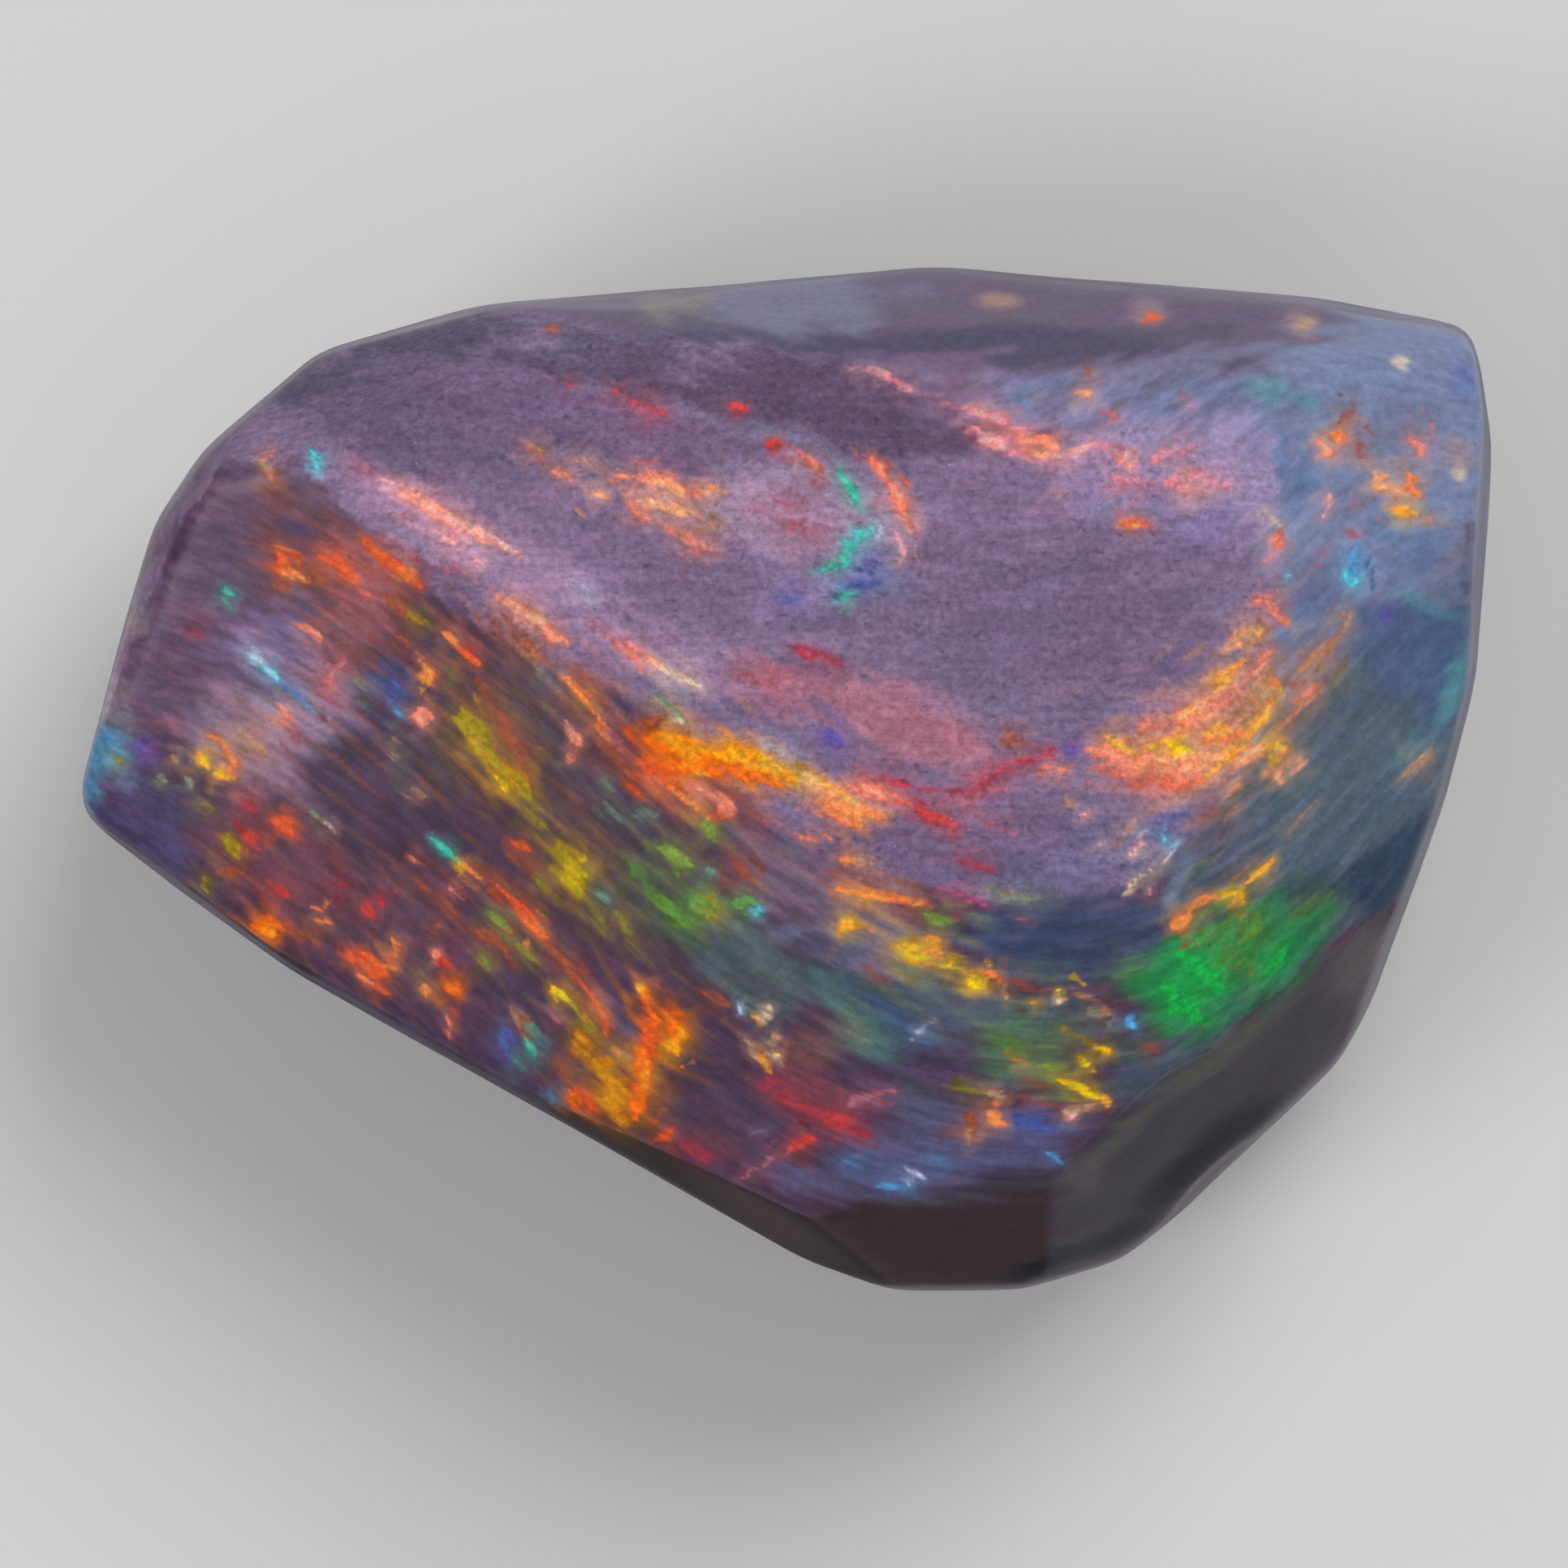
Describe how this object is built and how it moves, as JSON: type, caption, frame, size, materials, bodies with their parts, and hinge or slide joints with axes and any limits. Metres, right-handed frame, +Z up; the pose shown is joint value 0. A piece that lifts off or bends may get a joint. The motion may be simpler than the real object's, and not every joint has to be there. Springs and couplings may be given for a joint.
{
  "type": "opal rub",
  "caption": "Lump of semi-black opal, ground on top into a large frosted table and sloping windows, with a flat base to lie on.",
  "frame": {"origin": "centre of the stone's box, at the height of its flat ground base", "axes": "+X along the length of the stone, +Y across it, +Z up out of the large frosted table"},
  "size_m": [0.022, 0.016, 0.0093],
  "materials": {
    "opal": "polished windows and walls, frosted ground table, play of colour in red, orange, green and blue"
  },
  "bodies": {
    "root": {"opal_rub": "opal"}
  },
  "joints": []
}
